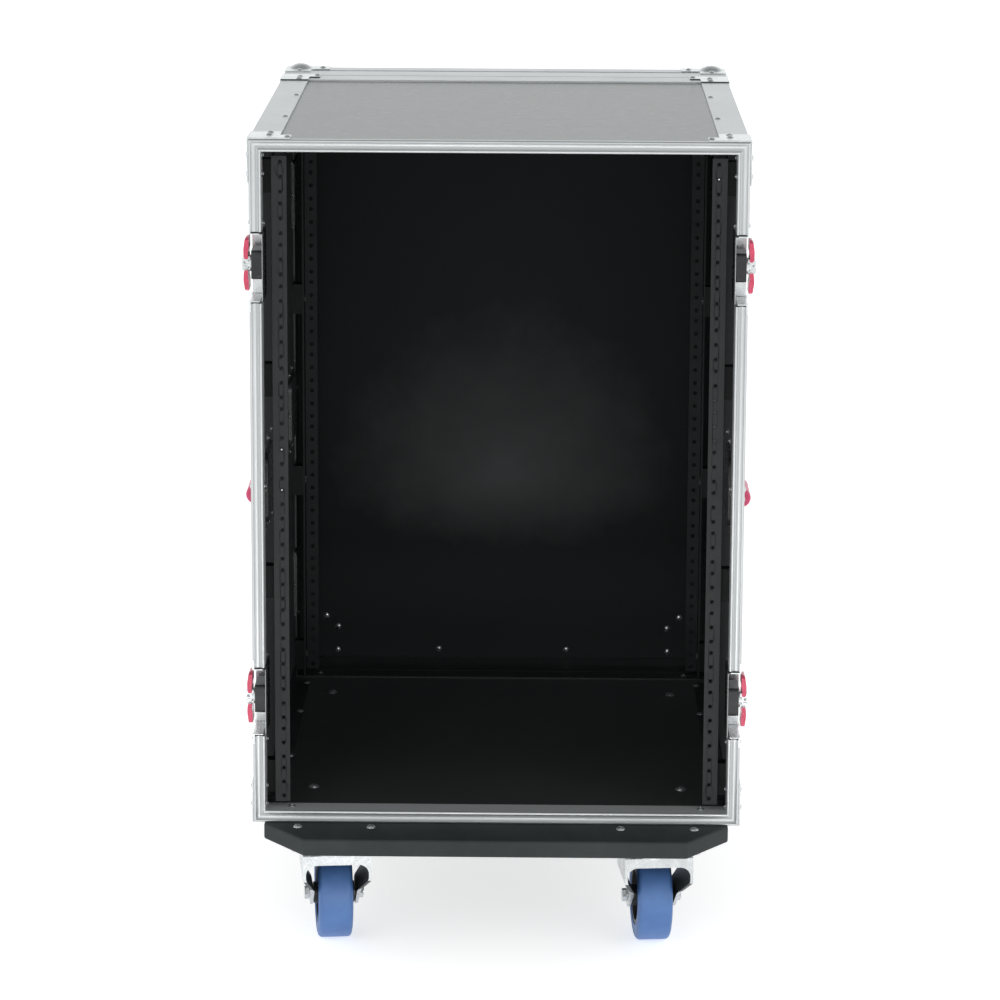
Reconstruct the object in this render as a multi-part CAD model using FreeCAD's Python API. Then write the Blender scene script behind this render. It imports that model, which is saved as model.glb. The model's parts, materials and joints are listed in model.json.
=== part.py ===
import FreeCAD, Part
import math
import os
from FreeCAD import Vector

# Equipment rack case on a caster board, with its rear lid on and its front lid off.
# Lengths are in millimetres. The case frame used below has X across the case, Y from
# the front opening plane to the rear and Z up from the underside of the case.
# export() moves every piece to the final origin, on the floor under the middle.

# Shell
WIDTH = 530.0
HEIGHT = 750.0
DEPTH = 600.0
LID_DEPTH = 85.0
LID_GAP = 0.5
SKIN = 2.0
PLY = 9.5
FLANGE = 30.0
SHORT_FLANGE = 8.0
SEAM_FLANGE = 46.0
EDGE_FLANGE = 32.0
RIM_WEB = 6.0
RIM_EDGE_R = 2.0
GROOVE_INSET = 6.75
GROOVE_R = 5.0
GROOVE_LIFT = 2.5
TONGUE_PLAY = 0.5
PLATE = 1.2
BRACE_T = 1.6

# Rack rails, sixteen units of 44.45 each
UNIT = 44.45
UNITS = 16
HOLE_OFFSETS = (6.35, 22.225, 38.1)
HOLE_X = 465.1 / 2
HOLE_R = 2.5
RAIL_INNER_X = 225.5
RAIL_OUTER_X = 242.0
RAIL_RECESS = 16.0
RAIL_LEG = 32.0
RAIL_T = 2.0
SPACER_Y = (31.0, 47.0)
SPACER_Z = (26.0, 245.0, 468.0, 689.0)
SPACER_H = 36.0

# Recessed latches, four at the front opening and four across the rear seam
LATCH_Z = (136.0, 613.0)
LATCH_AXIS_Y = 20.0
LATCH_RISE = 2.5
LATCH_HALF_H = 37.0
LATCH_POCKET_Y = 54.0
LATCH_FLANGE_HALF_H = 47.5
LATCH_FLANGE_Y = 64.0
LID_POCKET_Y = 40.0
LID_FLANGE_Y = 50.0
BAR_END_GAP = 1.5
POCKET_FLOOR_X = 250.0
HOUSING_TOP_X = 262.8
HOUSING_HALF_H = 15.5
SPINDLE_R = 6.0
RUNNING_FIT = 0.05
CLAW_X = (263.3, 265.3)
CLAW_REACH = 30.0
BARREL_R = 9.0
SADDLE_TOP_X = 273.2
SADDLE_EYE = (270.2, 1.5, 1.6)
SADDLE_KNOB = (270.4, -4.6, 2.8)
WING_SWEEP = 30.0
WING_PROFILE = ((267.2, 6.0), (269.9, 6.3), (271.1, 10.5), (271.2, 17.0), (270.2, 24.5),
                (268.3, 29.0), (266.3, 29.2), (265.6, 25.4), (265.7, 17.0), (266.3, 9.6))
WING_HALF_Y = 14.0

# Recessed handles, two on each side
HANDLE_Y = (93.0, 507.0)
HANDLE_Z = 362.0
DISH_FLOOR_X = 249.5
TRAY_R = 10.0
HINGE_X = 257.5
HINGE_RISE = 28.0
PIN_R = 3.2
PIN_REACH = 7.8
ROD_R = 4.0
ARM_Y = 37.0
GRIP_X = 264.5
GRIP_DROP = 9.0
GRIP_R = 10.5
GRIP_HALF = 31.0

# Caster board and casters
BOARD_T = 19.0
BOARD_ROUNDING = 3.0
BOARD_HALF_W = 253.5
BOARD_NOSE_HALF_W = 207.5
BOARD_OVERHANG = 62.0
CASTER_H = 128.0
CASTER_X = 176.0
CASTER_Y = (15.0, 585.0)
LEFT_CASTER_TURN = 6.5
RIGHT_CASTER_TURN = 5.5
TRAIL = 42.0
WHEEL_R = 50.0
WHEEL_HALF_W = 18.7
FORK_OUTLINE = ((37.5, 113), (37.5, 84), (27.5, 66), (26.5, 30))
FORK_MOUTH = ((23.5, 28), (23.5, 64), (34.5, 86), (34.5, 102.5))
FORK_SIDE = ((-28, 116), (34, 116), (56, 66), (54, 40), (42, 36), (31, 42), (-28, 84))
HUB_HALF_W = 22.5
AXLE_NUT_X = 27.5
CORE_R = 33.0
AXLE_R = 5.0
PLATE_BOLT_X = 40.0
PLATE_BOLT_Y = 30.0
KINGPIN_R = 6.0

# Ball corners of the lid
BALL_R = 23.0
BALL_INSET = 16.0
CORNER_T = 1.5

HALF_W = WIDTH / 2
PLY_OUT = HALF_W - SKIN
PLY_IN = PLY_OUT - PLY
RIM_WIDTH = SKIN + PLY + SKIN
FLOOR_TOP = SKIN + PLY
LID_Y = DEPTH + LID_GAP
LID_BACK = DEPTH + LID_DEPTH
BASE_Z = CASTER_H + BOARD_T
MIDDLE_Y = (LID_BACK - BALL_INSET + BALL_R - BOARD_OVERHANG) / 2


def box(x0, x1, y0, y1, z0, z1):
    return Part.makeBox(x1 - x0, y1 - y0, z1 - z0, Vector(x0, y0, z0))


def rod(start, end, radius):
    step = end - start
    return Part.makeCylinder(radius, step.Length, start, step)


def prism(points, step):
    wire = Part.makePolygon(points + [points[0]])
    return Part.Face(wire).extrude(step)


def prism_xy(points, z0, z1):
    return prism([Vector(x, y, z0) for x, y in points], Vector(0, 0, z1 - z0))


def prism_yz(points, x0, x1):
    return prism([Vector(x0, y, z) for y, z in points], Vector(x1 - x0, 0, 0))


def prism_xz(points, y0, y1):
    return prism([Vector(x, y0, z) for x, z in points], Vector(0, y1 - y0, 0))


def fuse(shapes):
    result = shapes[0]
    for shape in shapes[1:]:
        result = result.fuse(shape)
    return result.removeSplitter()


def cut(shape, tools):
    for tool in tools:
        shape = shape.cut(tool)
    return shape


def moved(shape, x, y, z):
    copy = shape.copy()
    copy.translate(Vector(x, y, z))
    return copy


def mirror_x(shape):
    return shape.mirror(Vector(0, 0, 0), Vector(1, 0, 0))


def mirror_y(shape):
    return shape.mirror(Vector(0, DEPTH / 2, 0), Vector(0, 1, 0))


def mirror_z(shape):
    return shape.mirror(Vector(0, 0, HEIGHT / 2), Vector(0, 0, 1))


def both_sides(shapes):
    return shapes + [mirror_x(shape) for shape in shapes]


def soften(shape, radius, test):
    """Round the edges whose middle point passes the test."""
    edges = [edge for edge in shape.Edges if test(edge)]
    return shape.makeFillet(radius, edges)


def along_x(edge):
    ends = [vertex.Point for vertex in edge.Vertexes]
    if len(ends) < 2:
        return False
    return abs(ends[1].x - ends[0].x) > 0.9 * edge.Length


def dome(point, normal, radius, height):
    """A round rivet or bolt head standing on a surface."""
    ball = (radius * radius + height * height) / (2 * height)
    latitude = math.degrees(math.asin((ball - height) / ball))
    centre = point - normal * (ball - height)
    return Part.makeSphere(ball, centre, normal, latitude, 90, 360)


def rivet(x, y, z, axis, sign):
    normal = Vector(*[sign if name == axis else 0 for name in "xyz"])
    return dome(Vector(x, y, z), normal, 4.2, 2.0)


def hexagon(centre, across_flats, height, direction):
    """A hexagonal nut or head that grows along X or down along Z."""
    radius = across_flats / math.sqrt(3)
    corners = []
    for index in range(6):
        angle = math.radians(60 * index)
        side = radius * math.cos(angle)
        rise = radius * math.sin(angle)
        if direction.x:
            corners.append(centre + Vector(0, side, rise))
        else:
            corners.append(centre + Vector(side, rise, 0))
    return prism(corners, direction * height)


def export(name, shapes):
    solids = [solid for shape in shapes for solid in shape.Solids]
    placed = [moved(solid, 0, -MIDDLE_Y, BASE_Z) for solid in solids]
    part = placed[0] if len(placed) == 1 else Part.makeCompound(placed)
    part.exportStep("parts/" + name + ".step")


# Aluminium rims round the openings

def ring(y0, y1, outer, inner):
    """A square-cornered ring between two insets from the outside of the case."""
    whole = box(-HALF_W + outer, HALF_W - outer, y0, y1, outer, HEIGHT - outer)
    hole = box(-HALF_W + inner, HALF_W - inner, y0 - 1, y1 + 1, inner, HEIGHT - inner)
    return whole.cut(hole)


def along(edge, y):
    """True for a straight edge lying in the plane of the given Y."""
    return abs(edge.BoundBox.YMin - y) < 0.01 and abs(edge.BoundBox.YMax - y) < 0.01


def rim_frame(side_flange, top_flange):
    """The whole rim before it is parted: outer and inner flanges on a rounded front web."""
    sides = ring(0, side_flange, 0, SKIN).cut(box(-PLY_OUT, PLY_OUT, -1, 99, -1, HEIGHT + 1))
    flats = ring(0, top_flange, 0, SKIN).common(box(-PLY_OUT, PLY_OUT, 0, 99, 0, HEIGHT))
    inner_flange = ring(0, FLANGE, SKIN + PLY, RIM_WIDTH)
    web = ring(0, RIM_WEB, 0, RIM_WIDTH)
    frame = fuse([sides, flats, inner_flange, web])
    return soften(frame, RIM_EDGE_R, lambda edge: along(edge, 0) and edge.Length > HEIGHT / 2)


def mitre_wedges(y1):
    """The top and the right quarter of a rim, parted at 45 degrees."""
    reach = 60.0
    inside = HALF_W - reach
    y0 = -10.0
    top = [(-HALF_W, HEIGHT), (HALF_W, HEIGHT), (inside, HEIGHT - reach), (-inside, HEIGHT - reach)]
    side = [(HALF_W, 0), (HALF_W, HEIGHT), (inside, HEIGHT - reach), (inside, reach)]
    return prism_xz(top, y0, y1), prism_xz(side, y0, y1)


def bead(radius, y, upright):
    """A round bar along the top rim or the right rim, in the line of its groove."""
    if upright:
        x = HALF_W - GROOVE_INSET
        return rod(Vector(x, y, 0), Vector(x, y, HEIGHT), radius)
    z = HEIGHT - GROOVE_INSET
    return rod(Vector(-HALF_W, y, z), Vector(HALF_W, y, z), radius)


def latch_notches(depth, flange_depth, gap):
    """The room that the latch dishes take out of a side bar, on the right."""
    notches = []
    for z in LATCH_Z:
        notches.append(box(POCKET_FLOOR_X - 1, HALF_W + 1, -10, depth,
                           z - LATCH_HALF_H - gap, z + LATCH_HALF_H + gap))
        notches.append(box(PLY_OUT, HALF_W + 1, -10, flange_depth,
                           z - LATCH_FLANGE_HALF_H, z + LATCH_FLANGE_HALF_H))
    return notches


def four_bars(top, right):
    return [top, mirror_z(top), right, mirror_x(right)]


def case_rim_bars(top_flange, side_flange):
    frame = rim_frame(side_flange, top_flange)
    top_wedge, side_wedge = mitre_wedges(60.0)
    top = frame.common(top_wedge).cut(bead(GROOVE_R, -GROOVE_LIFT, False))
    right = frame.common(side_wedge).cut(bead(GROOVE_R, -GROOVE_LIFT, True))
    right = cut(right, latch_notches(LATCH_POCKET_Y, LATCH_FLANGE_Y, BAR_END_GAP))
    return four_bars(top, right)


def lid_rim_bars():
    frame = rim_frame(SEAM_FLANGE, SEAM_FLANGE)
    top_wedge, side_wedge = mitre_wedges(60.0)
    top_web, side_web = mitre_wedges(RIM_WEB)
    tongue_y = GROOVE_LIFT - LID_GAP
    tongue_r = GROOVE_R - TONGUE_PLAY
    top = frame.common(top_wedge).fuse(bead(tongue_r, tongue_y, False).common(top_web))
    right = frame.common(side_wedge).fuse(bead(tongue_r, tongue_y, True).common(side_web))
    right = cut(right.removeSplitter(), latch_notches(LID_POCKET_Y, LID_FLANGE_Y, BAR_END_GAP))
    return [moved(bar, 0, LID_Y, 0) for bar in four_bars(top.removeSplitter(), right)]


# Plywood shell

def dish_outline(half_top, half_bottom, half_height):
    return [(-half_top, half_height), (half_top, half_height),
            (half_bottom, -half_height), (-half_bottom, -half_height)]


def dish_prism(outline, y, x0, x1, radius):
    points = [(y + u, HANDLE_Z + w) for u, w in outline]
    return soften(prism_yz(points, x0, x1), radius, along_x)


def side_panel():
    panel = box(PLY_IN, PLY_OUT, RIM_WEB, DEPTH - RIM_WEB, SKIN, HEIGHT - SKIN)
    front = [box(PLY_IN - 1, PLY_OUT + 1, -1, LATCH_POCKET_Y, z - LATCH_HALF_H, z + LATCH_HALF_H)
             for z in LATCH_Z]
    holes = [dish_prism(dish_outline(49, 45, 38), y, PLY_IN - 1, PLY_OUT + 1, TRAY_R) for y in HANDLE_Y]
    return cut(panel, front + [mirror_y(notch) for notch in front] + holes)


def flat_panel(z):
    return box(-PLY_IN, PLY_IN, RIM_WEB, DEPTH - RIM_WEB, z, z + PLY)


def edge_angle(top_y, side_y):
    """The right angle over one top edge of the shell, with the Y reach of its two legs."""
    top = box(HALF_W - EDGE_FLANGE, PLY_OUT, top_y[0], top_y[1], HEIGHT - SKIN, HEIGHT)
    side = box(PLY_OUT, HALF_W, side_y[0], side_y[1], HEIGHT - EDGE_FLANGE, HEIGHT)
    return top.fuse(side).removeSplitter()


def four_corners(shape):
    pair = both_sides([shape])
    return pair + [mirror_z(item) for item in pair]


def ell(first_arm, first_width, second_arm, second_width):
    """An L outline with its corner on the origin; each arm has its own length and width."""
    return [(0, 0), (first_arm, 0), (first_arm, first_width), (second_width, first_width),
            (second_width, second_arm), (0, second_arm)]


def corner_brace(with_top):
    """The riveted plate that wraps one front corner, on the right at the top."""
    start = 2.0
    x1 = HALF_W + BRACE_T
    z1 = HEIGHT + BRACE_T
    side_outline = ell(54.0, 26.0, 48.0, 26.0)
    side = prism_yz([(start + u, z1 - w) for u, w in side_outline], HALF_W, x1)
    if not with_top:
        return side.cut(box(HALF_W - 1, x1 + 1, -1, 60, HEIGHT, z1 + 1))
    top_outline = ell(46.0, 26.0, 54.0, 34.0)
    top = prism_xy([(x1 - u, start + w) for u, w in top_outline], HEIGHT, z1)
    return top.fuse(side).removeSplitter()


# Rack rails

def front_rail():
    """The right front rail: an angle with the tapped hole row in its face."""
    z0 = (HEIGHT - UNITS * UNIT) / 2
    z1 = z0 + UNITS * UNIT
    face = box(RAIL_INNER_X, RAIL_OUTER_X, RAIL_RECESS, RAIL_RECESS + RAIL_T, z0, z1)
    leg = box(RAIL_OUTER_X - RAIL_T, RAIL_OUTER_X, RAIL_RECESS, RAIL_RECESS + RAIL_LEG, z0, z1)
    holes = []
    for unit in range(UNITS):
        for offset in HOLE_OFFSETS:
            start = Vector(HOLE_X, RAIL_RECESS - 1, z0 + unit * UNIT + offset)
            holes.append(Part.makeCylinder(HOLE_R, RAIL_T + 2, start, Vector(0, 1, 0)))
    return face.fuse(leg).removeSplitter().cut(Part.makeCompound(holes))


def front_spacers():
    return [box(RAIL_OUTER_X, PLY_IN, SPACER_Y[0], SPACER_Y[1], z, z + SPACER_H) for z in SPACER_Z]


def floor_angle():
    flat = box(PLY_IN - 18, PLY_IN, 52, DEPTH - 52, FLOOR_TOP, FLOOR_TOP + RAIL_T)
    upright = box(PLY_IN - RAIL_T, PLY_IN, 52, DEPTH - 52, FLOOR_TOP, FLOOR_TOP + 20)
    return flat.fuse(upright).removeSplitter()


# Latches

def latch_dish(z, pocket_y, flange_y):
    """Half of a pressed latch recess, open at the seam, on the right."""
    inner = LATCH_HALF_H - PLATE
    flange = box(PLY_OUT, HALF_W, 0, flange_y, z - LATCH_FLANGE_HALF_H, z + LATCH_FLANGE_HALF_H)
    tray = box(POCKET_FLOOR_X, HALF_W, 0, pocket_y, z - LATCH_HALF_H, z + LATCH_HALF_H)
    hollow = box(POCKET_FLOOR_X + PLATE, HALF_W + 1, -1, pocket_y - PLATE, z - inner, z + inner)
    return flange.fuse(tray).removeSplitter().cut(hollow)


def keeper_dish(z):
    """The lid's half of the recess, with the raised keeper the claw reaches over."""
    middle = z + LATCH_RISE
    keeper = box(POCKET_FLOOR_X + PLATE / 2, HOUSING_TOP_X - 1, 2, 6,
                 middle - HOUSING_HALF_H, middle + HOUSING_HALF_H)
    half = latch_dish(z, LID_POCKET_Y, LID_FLANGE_Y).fuse(keeper).removeSplitter()
    return moved(half, 0, LID_Y, 0)


def latch_housing(z):
    block = box(POCKET_FLOOR_X + PLATE, HOUSING_TOP_X, 3, 44,
                z - HOUSING_HALF_H, z + HOUSING_HALF_H)
    block = soften(block, 4, along_x)
    bore = rod(Vector(POCKET_FLOOR_X, LATCH_AXIS_Y, z), Vector(HOUSING_TOP_X + 1, LATCH_AXIS_Y, z),
               SPINDLE_R + RUNNING_FIT)
    return block.cut(bore)


def smooth_prism_xz(points, y0, y1):
    """A closed smooth curve through the points, extruded along Y."""
    curve = Part.BSplineCurve()
    curve.interpolate([Vector(x, y0, z) for x, z in points], PeriodicFlag=True)
    return Part.Face(Part.Wire(curve.toShape())).extrude(Vector(0, y1 - y0, 0))


def latch_saddle(z):
    """The block on top of the spindle that carries the wings: cross pin, eye and knob."""
    block = box(CLAW_X[1] - 0.5, SADDLE_TOP_X, LATCH_AXIS_Y - 8, LATCH_AXIS_Y + 8, z - 7, z + 8)
    block = soften(block, 2.5, lambda edge: edge.BoundBox.YLength > 15
                   and edge.CenterOfMass.x > SADDLE_TOP_X - 1)
    crossing = []
    for (x, rise, radius), reach in ((SADDLE_EYE, 9.0), (SADDLE_KNOB, 9.5)):
        start = Vector(x, LATCH_AXIS_Y - reach, z + rise)
        crossing.append(rod(start, start + Vector(0, 2 * reach, 0), radius))
    eye, knob = crossing
    return block.fuse(knob).cut(eye)


def latch_butterfly(z, closed):
    """The turning piece: spindle, saddle, locking claw and two curved wings."""
    axis = Vector(0, LATCH_AXIS_Y, z)
    spindle = rod(axis + Vector(POCKET_FLOOR_X + PLATE + 0.4, 0, 0), axis + Vector(CLAW_X[1], 0, 0),
                  SPINDLE_R)
    collar = rod(axis + Vector(CLAW_X[0], 0, 0), axis + Vector(CLAW_X[1] + 1.5, 0, 0), BARREL_R)
    direction = -1 if closed else 1
    tip = LATCH_AXIS_Y + direction * CLAW_REACH
    claw = box(CLAW_X[0], CLAW_X[1], min(LATCH_AXIS_Y, tip), max(LATCH_AXIS_Y, tip), z - 6, z + 6)
    core = fuse([spindle, collar, latch_saddle(z), claw])
    wing = smooth_prism_xz([(x, z + rise) for x, rise in WING_PROFILE],
                           LATCH_AXIS_Y - WING_HALF_Y, LATCH_AXIS_Y + WING_HALF_Y)
    sweep = rod(axis + Vector(250, 0, 0), axis + Vector(280, 0, 0), WING_SWEEP)
    wing = wing.common(sweep).cut(core)
    lower = wing.mirror(Vector(0, 0, z), Vector(0, 0, 1)).cut(core)
    return [core, wing, lower]


# Handles

def handle_dish(y):
    """The pressed recess with two hinge lugs for the bail, on the right."""
    flange = dish_prism(dish_outline(60, 55, 59), y, PLY_OUT, PLY_OUT + PLATE, 12)
    tray = dish_prism(dish_outline(49, 45, 38), y, DISH_FLOOR_X, PLY_OUT + PLATE, TRAY_R)
    hollow = dish_prism(dish_outline(49 - PLATE, 45 - PLATE, 38 - PLATE), y,
                        DISH_FLOOR_X + PLATE, PLY_OUT + PLATE + 1, TRAY_R - PLATE)
    hinge_z = HANDLE_Z + HINGE_RISE
    lugs = []
    for side in (-1, 1):
        edges = sorted([y + side * 42.3, y + side * 50.0])
        lug = box(DISH_FLOOR_X + PLATE / 2, PLY_OUT, edges[0], edges[1], hinge_z - 7, hinge_z + 7)
        lugs.append(lug.common(tray))
    bore_half = ARM_Y + PIN_REACH + 0.6
    bore = rod(Vector(HINGE_X, y - bore_half, hinge_z), Vector(HINGE_X, y + bore_half, hinge_z),
               PIN_R + RUNNING_FIT)
    return fuse([flange.fuse(tray).cut(hollow)] + lugs).cut(bore)


def handle_bail(y):
    hinge_z = HANDLE_Z + HINGE_RISE
    grip_z = HANDLE_Z - GRIP_DROP
    pieces = [rod(Vector(GRIP_X, y - ARM_Y, grip_z), Vector(GRIP_X, y + ARM_Y, grip_z), ROD_R)]
    for side in (-1, 1):
        top = Vector(HINGE_X, y + side * ARM_Y, hinge_z)
        low = Vector(GRIP_X, y + side * ARM_Y, grip_z)
        pieces.append(rod(top, low, ROD_R))
        pieces.append(Part.makeSphere(ROD_R, top))
        pieces.append(Part.makeSphere(ROD_R, low))
        pieces.append(rod(top, top + Vector(0, side * PIN_REACH, 0), PIN_R))
    return fuse(pieces)


def handle_grip(y):
    grip_z = HANDLE_Z - GRIP_DROP
    start = Vector(GRIP_X, y - GRIP_HALF, grip_z)
    end = Vector(GRIP_X, y + GRIP_HALF, grip_z)
    body = rod(start, end, GRIP_R)
    body = body.makeFillet(3.0, [edge for edge in body.Edges if len(edge.Vertexes) == 1])
    return body.cut(rod(start - Vector(0, 1, 0), end + Vector(0, 1, 0), ROD_R + 0.02))


# Lid corners

def corner_cube(grow):
    inset = BALL_INSET
    return box(HALF_W - inset, HALF_W + grow, LID_BACK - inset, LID_BACK + grow,
               HEIGHT - inset, HEIGHT + grow)


def lid_corner_cubes():
    return four_corners(corner_cube(1.0))


def ball_corner():
    """Ball and three-way plates on the right top corner at the back of the lid."""
    centre = Vector(HALF_W - BALL_INSET, LID_BACK - BALL_INSET, HEIGHT - BALL_INSET)
    arms = ell(52.0 + CORNER_T, 30.0 + CORNER_T, 52.0 + CORNER_T, 30.0 + CORNER_T)
    x1 = HALF_W + CORNER_T
    y1 = LID_BACK + CORNER_T
    z1 = HEIGHT + CORNER_T
    top = prism_xy([(x1 - u, y1 - w) for u, w in arms], HEIGHT, z1)
    side = prism_yz([(y1 - u, z1 - w) for u, w in arms], HALF_W, x1)
    back = prism_xz([(x1 - u, z1 - w) for u, w in arms], LID_BACK, y1)
    case = box(0, HALF_W, 0, LID_BACK, 0, HEIGHT).cut(corner_cube(0.0))
    ball = Part.makeSphere(BALL_R, centre).cut(case)
    hollow = Part.makeSphere(BALL_R - 2.0, centre).common(corner_cube(10.0))
    plates = fuse([top, side, back]).cut(Part.makeSphere(BALL_R - 2.0, centre))
    return fuse([ball.cut(hollow), plates])


# Casters, built with the swivel axis on the origin and the floor at zero

def wheel_point(x):
    return Vector(x, TRAIL, WHEEL_R)


def caster_fork():
    """A pressed fork: arched front and back, legs that close in on the axle."""
    outer = list(FORK_OUTLINE)
    inner = list(FORK_MOUTH)
    shell = prism_xz(outer + [(-x, z) for x, z in reversed(outer)], -60, 80)
    shell = soften(shell, 12, lambda edge: edge.BoundBox.YLength > 100
                   and 60 < edge.CenterOfMass.z < 100)
    mouth = prism_xz(inner + [(-x, z) for x, z in reversed(inner)], -70, 90)
    mouth = soften(mouth, 11, lambda edge: edge.BoundBox.YLength > 100
                   and edge.CenterOfMass.z > 60)
    blade = prism_yz(list(FORK_SIDE), -40, 40)
    nose = rod(wheel_point(-40), wheel_point(40), 13)
    legs = shell.cut(mouth).common(blade.fuse(nose))
    hollow = box(-FORK_MOUTH[-1][0], FORK_MOUTH[-1][0], -25, 31, 100, 110)
    race = Part.makeCylinder(33, 5, Vector(0, 0, 113), Vector(0, 0, 1))
    kingpin = Part.makeCylinder(KINGPIN_R, 15, Vector(0, 0, 110), Vector(0, 0, 1))
    hole = rod(wheel_point(-40), wheel_point(40), AXLE_R + 0.1)
    return fuse([legs.cut(hollow), race, kingpin]).cut(hole)


def caster_plate():
    plate = box(-52.5, 52.5, -42.5, 42.5, 125, CASTER_H)
    plate = plate.makeFillet(8, [edge for edge in plate.Edges
                                 if abs(edge.Vertexes[0].Point.z - edge.Vertexes[1].Point.z) > 1])
    ring_boss = Part.makeCone(29, 33, 6.2, Vector(0, 0, 118.8), Vector(0, 0, 1))
    bore = Part.makeCylinder(KINGPIN_R + RUNNING_FIT, 7, Vector(0, 0, 118.5), Vector(0, 0, 1))
    holes = [Part.makeCylinder(4.2, 6, Vector(x, y, 123), Vector(0, 0, 1))
             for x in (-PLATE_BOLT_X, PLATE_BOLT_X) for y in (-PLATE_BOLT_Y, PLATE_BOLT_Y)]
    return plate.fuse(ring_boss).cut(Part.makeCompound([bore] + holes))


def caster_axle():
    shaft = rod(wheel_point(-AXLE_NUT_X - 3), wheel_point(AXLE_NUT_X + 6), AXLE_R)
    head = hexagon(wheel_point(-AXLE_NUT_X), 13, 5, Vector(-1, 0, 0))
    nut = hexagon(wheel_point(AXLE_NUT_X), 13, 5, Vector(1, 0, 0))
    return fuse([shaft, head, nut])


def caster_hub():
    rim = rod(wheel_point(-WHEEL_HALF_W + 0.5), wheel_point(WHEEL_HALF_W - 0.5), CORE_R - 0.05)
    boss = rod(wheel_point(-HUB_HALF_W), wheel_point(HUB_HALF_W), 12)
    wells = []
    for side in (-1, 1):
        well = rod(wheel_point(side * 8), wheel_point(side * 30), 28.5)
        wells.append(well.cut(rod(wheel_point(side * 7), wheel_point(side * 31), 12)))
    bore = rod(wheel_point(-30), wheel_point(30), AXLE_R + RUNNING_FIT)
    return cut(rim.fuse(boss), wells + [bore])


def caster_tyre():
    tread = rod(wheel_point(-WHEEL_HALF_W), wheel_point(WHEEL_HALF_W), WHEEL_R)
    tread = tread.makeFillet(5.0, [edge for edge in tread.Edges if len(edge.Vertexes) == 1])
    return tread.cut(rod(wheel_point(-30), wheel_point(30), CORE_R))


def set_caster(shape, x, y, turn):
    copy = shape.copy()
    copy.rotate(Vector(0, 0, 0), Vector(0, 0, 1), turn)
    copy.translate(Vector(x, y, -BASE_Z))
    return copy


def caster_board():
    rear = DEPTH + BOARD_OVERHANG
    outline = [(-BOARD_NOSE_HALF_W, -BOARD_OVERHANG), (BOARD_NOSE_HALF_W, -BOARD_OVERHANG),
               (BOARD_HALF_W, 0), (BOARD_HALF_W, DEPTH), (BOARD_NOSE_HALF_W, rear),
               (-BOARD_NOSE_HALF_W, rear), (-BOARD_HALF_W, DEPTH), (-BOARD_HALF_W, 0)]
    board = prism_xy(outline, -BOARD_T, 0)
    return soften(board, BOARD_ROUNDING, lambda edge: edge.BoundBox.ZLength < 0.1)


# Fasteners

def through_rivet(y, z, outer_x):
    """Both heads of a rivet through the right side and the rim's inner flange."""
    return [rivet(outer_x, y, z, "x", 1), rivet(HALF_W - RIM_WIDTH, y, z, "x", -1)]


def rim_rivets():
    """Rivets of the right half: rims, edge angles, latch and handle dishes."""
    heads = []
    for z in (91.0, 373.0, 659.0):
        heads += through_rivet(16.0, z, HALF_W)
    heads.append(rivet(238.0, 200.0, HEIGHT, "z", 1))
    for z in (18.0, HEIGHT - 18.0):
        heads.append(rivet(HALF_W, 200.0, z, "x", 1))
    for z in LATCH_Z:
        for step in (-38.0, 0.0, 38.0):
            heads.append(rivet(HALF_W, LATCH_POCKET_Y + 5, z + step, "x", 1))
            heads.append(rivet(PLY_IN, LATCH_POCKET_Y + 5, z + step, "x", -1))
    pattern = [(-50, 48.5), (0, 48.5), (50, 48.5), (-52, 0), (52, 0), (-42, -45), (0, -45), (42, -45)]
    for u, w in pattern:
        heads.append(rivet(PLY_OUT + PLATE, HANDLE_Y[0] + u, HANDLE_Z + w, "x", 1))
        heads.append(rivet(PLY_IN, HANDLE_Y[0] + u, HANDLE_Z + w, "x", -1))
    return heads


def brace_rivets():
    outer_x = HALF_W + BRACE_T
    heads = []
    for x, y in ((244.0, 28.0), (224.0, 13.0), (244.0, 48.0)):
        heads.append(rivet(x, y, HEIGHT + BRACE_T, "z", 1))
    heads.append(rivet(224.0, 18.0, HEIGHT - RIM_WIDTH, "z", -1))
    heads.append(rivet(224.0, 18.0, RIM_WIDTH, "z", 1))
    for drop in (18.0, 38.0):
        heads += through_rivet(14.0, HEIGHT - drop, outer_x)
        heads += through_rivet(14.0, drop, outer_x)
    for z in (14.0, HEIGHT - 14.0):
        heads.append(rivet(outer_x, 44.0, z, "x", 1))
    return heads


def lid_rivets():
    heads = []
    inner_y = LID_BACK - SKIN - PLY
    for x, z in ((221, 64), (206, 50), (207, 20), (80, 22)):
        heads.append(rivet(x, inner_y, z, "y", -1))
        heads.append(rivet(x, inner_y, HEIGHT - z, "y", -1))
    for x, z in ((221, 16), (249, 44), (80, 16)):
        lift = CORNER_T if x > 100 else 0
        heads.append(rivet(x, LID_BACK + lift, z, "y", 1))
        heads.append(rivet(x, LID_BACK + lift, HEIGHT - z, "y", 1))
    heads.append(rivet(222, LID_BACK - 16, HEIGHT + CORNER_T, "z", 1))
    heads.append(rivet(249, LID_BACK - 44, HEIGHT + CORNER_T, "z", 1))
    for z in (250.0, 375.0, 500.0):
        heads.append(rivet(249, LID_BACK, z, "y", 1))
    return heads


def rail_screws():
    heads = []
    for z in SPACER_Z:
        point = Vector(RAIL_OUTER_X - RAIL_T, (SPACER_Y[0] + SPACER_Y[1]) / 2, z + SPACER_H / 2)
        heads.append(dome(point, Vector(-1, 0, 0), 4.5, 2.5))
    return heads


def floor_screws():
    heads = []
    for y in (216.0, 407.0, 536.0):
        heads.append(dome(Vector(238, y, FLOOR_TOP + RAIL_T), Vector(0, 0, 1), 4.5, 2.5))
    return heads


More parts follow.
